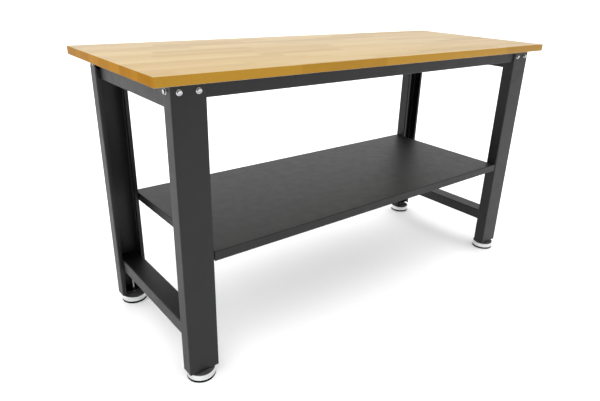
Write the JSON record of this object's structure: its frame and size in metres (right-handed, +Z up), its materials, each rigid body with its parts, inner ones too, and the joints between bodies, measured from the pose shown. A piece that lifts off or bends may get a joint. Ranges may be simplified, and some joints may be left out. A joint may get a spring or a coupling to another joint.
{
  "type": "assembly table",
  "caption": "Heavy assembly table: thick edge-glued wooden top on a folded steel frame with end stretchers, a full steel shelf and screw-adjusted levelling feet.",
  "frame": {"origin": "on the floor under the middle of the top", "axes": "X along the table, Y from its front to its back, Z up"},
  "size_m": [1.829, 0.698, 1.002],
  "materials": {
    "top_wood": "clear satin lacquer on edge-glued light hardwood",
    "frame_paint": "dark grey fine-textured powder coat, low sheen",
    "bright_zinc": "bright zinc plate",
    "black_zinc": "black zinc plate, satin",
    "plain_steel": "dull zinc plate",
    "cup_chrome": "polished",
    "cap_plastic": "moulded, faintly grained",
    "pad_rubber": "matt"
  },
  "bodies": {
    "frame": {"worktop": "top_wood", "shelf": "frame_paint", "shelf_stiffener": "frame_paint", "front_rail": "frame_paint", "rear_rail": "frame_paint", "left_end_rail": "frame_paint", "right_end_rail": "frame_paint", "left_stretcher": "frame_paint", "right_stretcher": "frame_paint", "web_bolts": "bright_zinc", "side_bolts": "bright_zinc", "web_nuts": "bright_zinc", "side_nuts": "bright_zinc", "shelf_nuts": "bright_zinc", "shelf_spacers": "bright_zinc", "worktop_screws": "bright_zinc", "shelf_bolts": "black_zinc", "foot_nuts": "plain_steel", "front_left_leg": "frame_paint", "front_left_foot_plate": "frame_paint", "front_right_leg": "frame_paint", "front_right_foot_plate": "frame_paint", "rear_left_leg": "frame_paint", "rear_left_foot_plate": "frame_paint", "rear_right_leg": "frame_paint", "rear_right_foot_plate": "frame_paint"},
    "front_left_foot": {"front_left_foot_pad": "pad_rubber", "front_left_foot_cup": "cup_chrome", "front_left_foot_cap": "cap_plastic"},
    "front_left_stem": {"front_left_stem": "plain_steel"},
    "front_right_foot": {"front_right_foot_pad": "pad_rubber", "front_right_foot_cup": "cup_chrome", "front_right_foot_cap": "cap_plastic"},
    "front_right_stem": {"front_right_stem": "plain_steel"},
    "rear_left_foot": {"rear_left_foot_pad": "pad_rubber", "rear_left_foot_cup": "cup_chrome", "rear_left_foot_cap": "cap_plastic"},
    "rear_left_stem": {"rear_left_stem": "plain_steel"},
    "rear_right_foot": {"rear_right_foot_pad": "pad_rubber", "rear_right_foot_cup": "cup_chrome", "rear_right_foot_cap": "cap_plastic"},
    "rear_right_stem": {"rear_right_stem": "plain_steel"}
  },
  "joints": [
    {"name": "front_left_foot_height", "type": "slide", "parent": "frame", "child": "front_left_foot", "axis": [0, 0, -1], "range_m": [-0.003, 0.04]},
    {"name": "front_left_stem_turn", "type": "hinge", "parent": "front_left_foot", "child": "front_left_stem", "pos_m": [-0.8045, -0.2865, 0.1], "axis": [0, 0, -1], "range_deg": [-730, 9620]},
    {"name": "front_right_foot_height", "type": "slide", "parent": "frame", "child": "front_right_foot", "axis": [0, 0, -1], "range_m": [-0.003, 0.04]},
    {"name": "front_right_stem_turn", "type": "hinge", "parent": "front_right_foot", "child": "front_right_stem", "pos_m": [0.8045, -0.2865, 0.1], "axis": [0, 0, -1], "range_deg": [-730, 9620]},
    {"name": "rear_left_foot_height", "type": "slide", "parent": "frame", "child": "rear_left_foot", "axis": [0, 0, -1], "range_m": [-0.003, 0.04]},
    {"name": "rear_left_stem_turn", "type": "hinge", "parent": "rear_left_foot", "child": "rear_left_stem", "pos_m": [-0.8045, 0.2865, 0.1], "axis": [0, 0, -1], "range_deg": [-730, 9620]},
    {"name": "rear_right_foot_height", "type": "slide", "parent": "frame", "child": "rear_right_foot", "axis": [0, 0, -1], "range_m": [-0.003, 0.04]},
    {"name": "rear_right_stem_turn", "type": "hinge", "parent": "rear_right_foot", "child": "rear_right_stem", "pos_m": [0.8045, 0.2865, 0.1], "axis": [0, 0, -1], "range_deg": [-730, 9620]}
  ],
  "couplings": [
    {"joint": "front_left_stem_turn", "follows": "front_left_foot_height", "rad_per_m": 4188.8},
    {"joint": "front_right_stem_turn", "follows": "front_right_foot_height", "rad_per_m": 4188.8},
    {"joint": "rear_left_stem_turn", "follows": "rear_left_foot_height", "rad_per_m": 4188.8},
    {"joint": "rear_right_stem_turn", "follows": "rear_right_foot_height", "rad_per_m": 4188.8}
  ]
}
